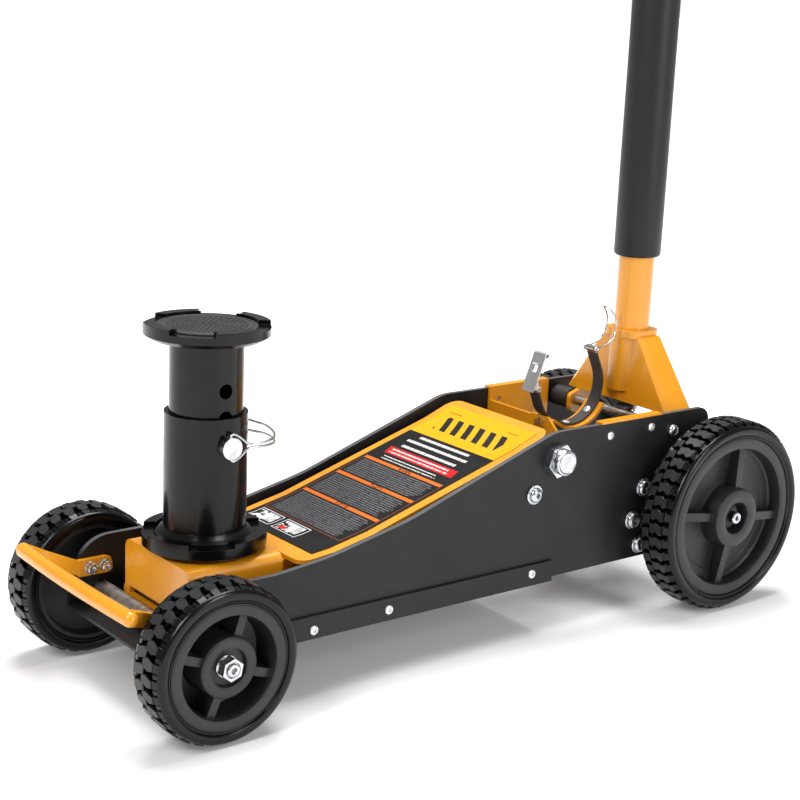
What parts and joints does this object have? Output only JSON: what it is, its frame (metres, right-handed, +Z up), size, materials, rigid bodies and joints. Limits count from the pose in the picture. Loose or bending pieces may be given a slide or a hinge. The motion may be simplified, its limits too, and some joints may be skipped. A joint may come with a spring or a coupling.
{
  "type": "hydraulic floor jack",
  "caption": "Low-profile rolling floor jack with pin-locked saddle extension, upright pump handle and stored-extension cradle.",
  "frame": {"origin": "on the floor, midway between the back of the rear tyres and the front bar, on the middle plane", "axes": "+X forward towards the saddle, +Y to the jack's left, +Z up; lift arm down and handle upright"},
  "size_m": [0.808, 0.3, 1.08],
  "materials": {
    "orange_paint": "gloss",
    "dark_paint": "satin",
    "black_paint": "satin",
    "tyre_rubber": "satin",
    "rim_plastic": "textured",
    "bright_zinc": "bright zinc",
    "raw_steel": "turned",
    "cast_body": "painted casting",
    "soft_rubber": "matt",
    "foam": "matt foam",
    "label_film": "printed film"
  },
  "bodies": {
    "frame": {"side_plate_left": "dark_paint", "side_plate_right": "dark_paint", "skid_plate": "dark_paint", "front_bar": "orange_paint", "front_bar_bolts": "bright_zinc", "front_axle": "raw_steel", "rear_axle": "raw_steel", "cradle_bracket": "orange_paint", "cradle_band": "orange_paint", "cradle_strap": "soft_rubber", "cradle_bolt": "bright_zinc", "panel_screws": "bright_zinc", "pump_bolts": "bright_zinc", "arm_pivot_shaft": "bright_zinc", "arm_pivot_nuts": "bright_zinc", "level_link_bolts": "bright_zinc", "pump_block": "cast_body", "reservoir_tank": "cast_body", "ram_cylinder": "cast_body", "yoke_shaft": "bright_zinc", "yoke_bushes": "soft_rubber", "front_wheel_nuts": "bright_zinc", "rear_wheel_screws": "bright_zinc"},
    "front_wheel_left": {"front_rim_left": "rim_plastic", "front_tyre_left": "tyre_rubber"},
    "front_wheel_right": {"front_rim_right": "rim_plastic", "front_tyre_right": "tyre_rubber"},
    "rear_wheel_left": {"rear_rim_left": "rim_plastic", "rear_tyre_left": "tyre_rubber"},
    "rear_wheel_right": {"rear_rim_right": "rim_plastic", "rear_tyre_right": "tyre_rubber"},
    "lift_arm": {"arm_plate_left": "orange_paint", "arm_plate_right": "orange_paint", "arm_cover": "orange_paint", "instruction_plate": "label_film", "ram_pin": "raw_steel"},
    "head": {"saddle_bracket": "orange_paint", "head_pivot_pin": "raw_steel", "level_link_pin": "raw_steel"},
    "level_links": {"level_link_left": "orange_paint", "level_link_right": "orange_paint"},
    "saddle_body": {"saddle": "black_paint"},
    "extension": {"extension_tube": "black_paint", "extension_inner_tube": "black_paint", "upper_saddle": "black_paint", "saddle_pad": "soft_rubber"},
    "locking_pin": {"lock_pin": "bright_zinc"},
    "bail": {"pin_bail": "bright_zinc"},
    "ram_body": {"ram": "bright_zinc"},
    "yoke": {"handle_socket": "orange_paint", "pump_roller": "raw_steel"},
    "handle": {"lower_handle": "orange_paint", "upper_handle": "orange_paint", "foam_sleeve": "foam", "handle_grip": "foam"},
    "plunger": {"pump_plunger": "raw_steel", "pump_spring": "raw_steel"},
    "valve": {"release_valve": "raw_steel"},
    "lever": {"latch_lever": "raw_steel"},
    "loop": {"latch_loop": "bright_zinc"}
  },
  "joints": [
    {"name": "front_wheel_left_spin", "type": "hinge", "parent": "frame", "child": "front_wheel_left", "pos_m": [0.32, 0.115, 0.072], "axis": [0, 1, 0], "continuous": true},
    {"name": "front_wheel_right_spin", "type": "hinge", "parent": "frame", "child": "front_wheel_right", "pos_m": [0.32, -0.115, 0.072], "axis": [0, 1, 0], "continuous": true},
    {"name": "rear_wheel_left_spin", "type": "hinge", "parent": "frame", "child": "rear_wheel_left", "pos_m": [-0.301, 0.12, 0.103], "axis": [0, 1, 0], "continuous": true},
    {"name": "rear_wheel_right_spin", "type": "hinge", "parent": "frame", "child": "rear_wheel_right", "pos_m": [-0.301, -0.12, 0.103], "axis": [0, 1, 0], "continuous": true},
    {"name": "lift", "type": "hinge", "parent": "frame", "child": "lift_arm", "pos_m": [-0.089, 0, 0.183], "axis": [0, -1, 0], "range_deg": [0, 74]},
    {"name": "head_level", "type": "hinge", "parent": "lift_arm", "child": "head", "pos_m": [0.2697, 0, 0.1065], "axis": [0, -1, 0], "range_deg": [-74, 0]},
    {"name": "link_swing", "type": "hinge", "parent": "frame", "child": "level_links", "pos_m": [-0.0627, 0, 0.1505], "axis": [0, -1, 0], "range_deg": [0, 74]},
    {"name": "ram_stroke", "type": "slide", "parent": "frame", "child": "ram_body", "axis": [1, 0, 0], "range_m": [0, 0.0716]},
    {"name": "pump_stroke", "type": "hinge", "parent": "frame", "child": "yoke", "pos_m": [-0.254, 0, 0.192], "axis": [0, -1, 0], "range_deg": [0, 60]},
    {"name": "plunger_stroke", "type": "slide", "parent": "frame", "child": "plunger", "axis": [0, 0, -1], "range_m": [0, 0.0281], "deforming": ["pump_spring"]},
    {"name": "handle_twist", "type": "hinge", "parent": "yoke", "child": "handle", "pos_m": [-0.276, 0, 0.3], "axis": [0, 0, 1], "range_deg": [0, 180]},
    {"name": "valve_turn", "type": "hinge", "parent": "frame", "child": "valve", "pos_m": [-0.23, 0, 0.076], "axis": [1, 0, 0], "range_deg": [0, 180]},
    {"name": "saddle_swivel", "type": "hinge", "parent": "head", "child": "saddle_body", "pos_m": [0.26, 0, 0.12], "axis": [0, 0, 1], "continuous": true},
    {"name": "extension_lift_out", "type": "slide", "parent": "saddle_body", "child": "extension", "axis": [0, 0, 1], "range_m": [0, 0.06]},
    {"name": "pin_pull", "type": "slide", "parent": "extension", "child": "locking_pin", "axis": [0, 1, 0], "range_m": [0, 0.1]},
    {"name": "bail_swing", "type": "hinge", "parent": "locking_pin", "child": "bail", "pos_m": [0.26, 0.0425, 0.2305], "axis": [0, 0, -1], "range_deg": [0, 90]},
    {"name": "lever_flip", "type": "hinge", "parent": "frame", "child": "lever", "pos_m": [-0.1375, 0, 0.231], "axis": [0, -1, 0], "range_deg": [0, 75]},
    {"name": "loop_swing", "type": "hinge", "parent": "frame", "child": "loop", "pos_m": [-0.2171, 0, 0.2657], "axis": [0, 1, 0], "range_deg": [0, 90]}
  ],
  "couplings": [
    {"joint": "head_level", "follows": "lift", "ratio": -1},
    {"joint": "link_swing", "follows": "lift", "ratio": 1},
    {"joint": "ram_stroke", "follows": "lift", "m_per_rad": 0.05536},
    {"joint": "plunger_stroke", "follows": "pump_stroke", "m_per_rad": 0.026738},
    {"joint": "valve_turn", "follows": "handle_twist", "ratio": 1}
  ]
}
